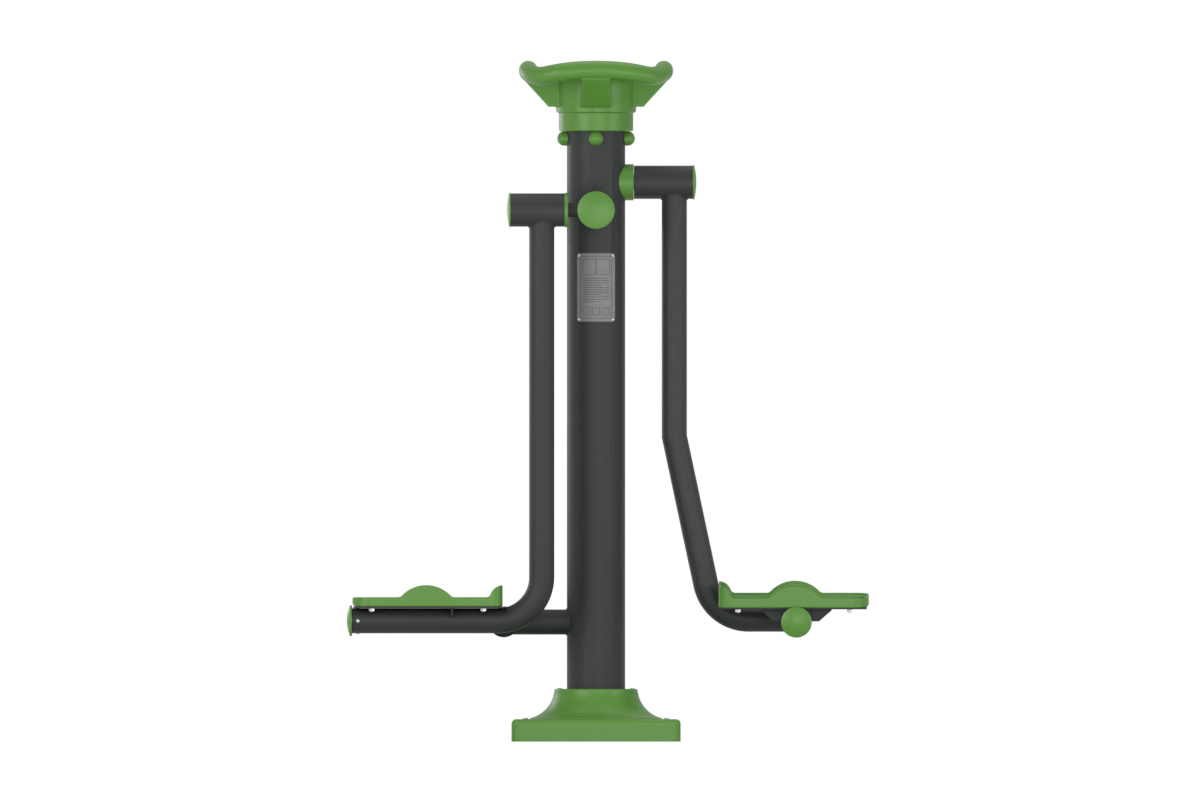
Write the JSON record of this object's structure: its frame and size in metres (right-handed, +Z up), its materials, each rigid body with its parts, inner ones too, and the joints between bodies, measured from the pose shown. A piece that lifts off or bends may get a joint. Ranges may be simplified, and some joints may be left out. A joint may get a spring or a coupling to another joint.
{
  "type": "outdoor air walker",
  "caption": "Outdoor air walker and side swing on one steel post, with a green hand wheel, moulded pedals on swinging bent tubes and a moulded base cover.",
  "frame": {"origin": "post axis at ground level, on the underside of the base plate", "axes": "+Z up along the post, -Y to the front where the information plate is, the side swing on the +X side and the two walkers on the -X side"},
  "size_m": [1.2528, 0.496, 1.6343],
  "materials": {
    "dark_powder_coat": "satin",
    "green_plastic": "satin",
    "zinc_fasteners": "satin",
    "bare_steel": "satin",
    "black_rubber": "matte",
    "plate_metal": "satin"
  },
  "bodies": {
    "stand": {"post": "dark_powder_coat", "base_plate": "bare_steel", "base_gussets": "bare_steel", "front_base_cover": "green_plastic", "rear_base_cover": "green_plastic", "cover_screws": "zinc_fasteners", "hand_wheel": "green_plastic", "wheel_spigot": "bare_steel", "wheel_fasteners": "zinc_fasteners", "wheel_bolt_caps": "green_plastic", "info_plate": "plate_metal", "plate_rivets": "zinc_fasteners", "cross_arm": "dark_powder_coat", "cross_arm_caps": "green_plastic", "swing_stub": "dark_powder_coat", "swing_collar": "green_plastic", "stop_arm": "dark_powder_coat", "stop_buffers": "black_rubber", "front_axle": "dark_powder_coat", "rear_axle": "dark_powder_coat", "swing_axle": "dark_powder_coat", "inner_bearing_rings": "bare_steel", "pivot_spacers": "zinc_fasteners", "lock_nuts": "zinc_fasteners"},
    "front_walker": {"front_housing": "dark_powder_coat", "front_bearings": "bare_steel", "front_stop_ring": "bare_steel", "front_housing_cap": "green_plastic", "front_seal_ring": "green_plastic", "front_tube": "dark_powder_coat", "front_foot_plate": "dark_powder_coat", "front_pedal": "green_plastic", "front_foot_cap": "green_plastic", "front_fasteners": "zinc_fasteners"},
    "rear_walker": {"rear_housing": "dark_powder_coat", "rear_bearings": "bare_steel", "rear_stop_ring": "bare_steel", "rear_housing_cap": "green_plastic", "rear_seal_ring": "green_plastic", "rear_tube": "dark_powder_coat", "rear_foot_plate": "dark_powder_coat", "rear_pedal": "green_plastic", "rear_foot_cap": "green_plastic", "rear_fasteners": "zinc_fasteners"},
    "side_swing": {"swing_housing": "dark_powder_coat", "swing_bearings": "bare_steel", "swing_stop_ring": "bare_steel", "swing_housing_cap": "green_plastic", "swing_tube": "dark_powder_coat", "swing_elbow": "dark_powder_coat", "swing_cross_tube": "dark_powder_coat", "swing_foot_plates": "dark_powder_coat", "swing_front_pedal": "green_plastic", "swing_rear_pedal": "green_plastic", "swing_tube_caps": "green_plastic", "swing_fasteners": "zinc_fasteners"}
  },
  "joints": [
    {"name": "front_walker_swing", "type": "hinge", "parent": "stand", "child": "front_walker", "pos_m": [-0.14025, -0.18, 1.2758], "axis": [1, 0, 0], "range_deg": [-50, 5]},
    {"name": "rear_walker_swing", "type": "hinge", "parent": "stand", "child": "rear_walker", "pos_m": [-0.14025, 0.18, 1.2758], "axis": [1, 0, 0], "range_deg": [-5, 50]},
    {"name": "side_swing_hinge", "type": "hinge", "parent": "stand", "child": "side_swing", "pos_m": [0.1615, 0, 1.3423], "axis": [1, 0, 0], "range_deg": [-52.4, 47.6]}
  ]
}
